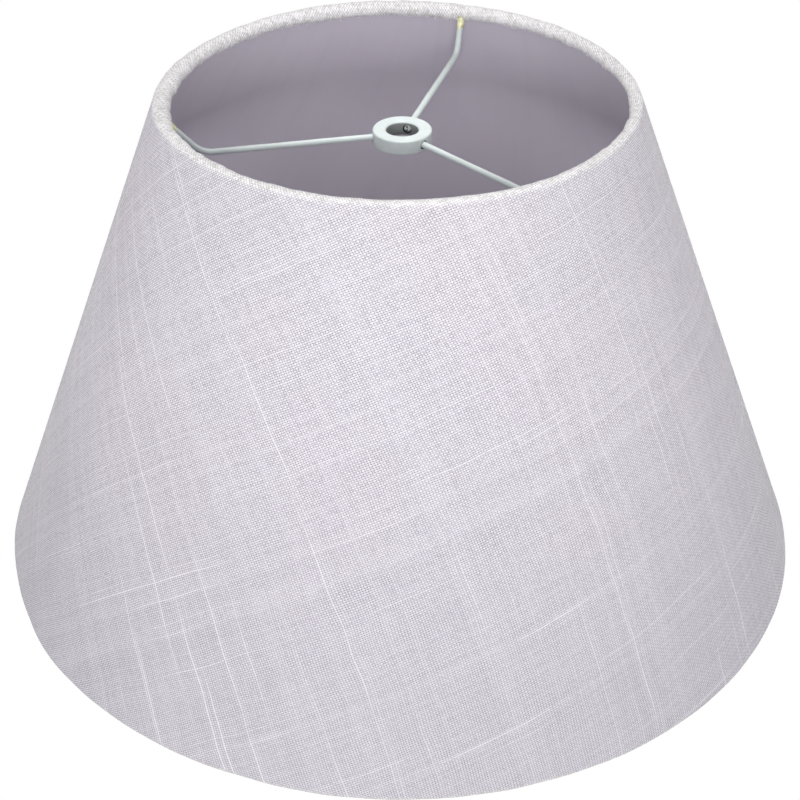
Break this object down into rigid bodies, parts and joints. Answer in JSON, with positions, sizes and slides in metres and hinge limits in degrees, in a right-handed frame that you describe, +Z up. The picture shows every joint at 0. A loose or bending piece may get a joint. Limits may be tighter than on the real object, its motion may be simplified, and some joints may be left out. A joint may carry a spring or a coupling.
{
  "type": "lamp shade",
  "caption": "Tapered round lamp shade of linen over a stiff liner, with rolled edges and a recessed three-arm wire spider and bored hub.",
  "frame": {"origin": "centre of the circle that the bottom edge stands on", "axes": "+Z up along the shade's axis, from the wide bottom edge to the narrow top edge; -Y to the front, with one arm to the rear, one to the left and one to the right"},
  "size_m": [0.282, 0.282, 0.168],
  "materials": {
    "linen": "matt plain-weave linen, off-white with a faint lilac cast, slubbed in both directions",
    "styrene": "smooth matt sheet that looks lilac-grey inside the shade",
    "tape": "thin double-sided tape",
    "ring_wire": "bright drawn wire, hidden inside the rolled edges",
    "white_paint": "white powder coat, satin, with a faint cool cast",
    "glue": "set drops of clear yellowish glue"
  },
  "bodies": {
    "root": {"linen_cover": "linen", "styrene_liner": "styrene", "liner_seam_tape": "tape", "top_ring": "ring_wire", "bottom_ring": "ring_wire", "spider_hub": "white_paint", "spider_arm_rear": "white_paint", "spider_arm_left": "white_paint", "spider_arm_right": "white_paint", "arm_glue_rear": "glue", "arm_glue_left": "glue", "arm_glue_right": "glue"}
  },
  "joints": []
}
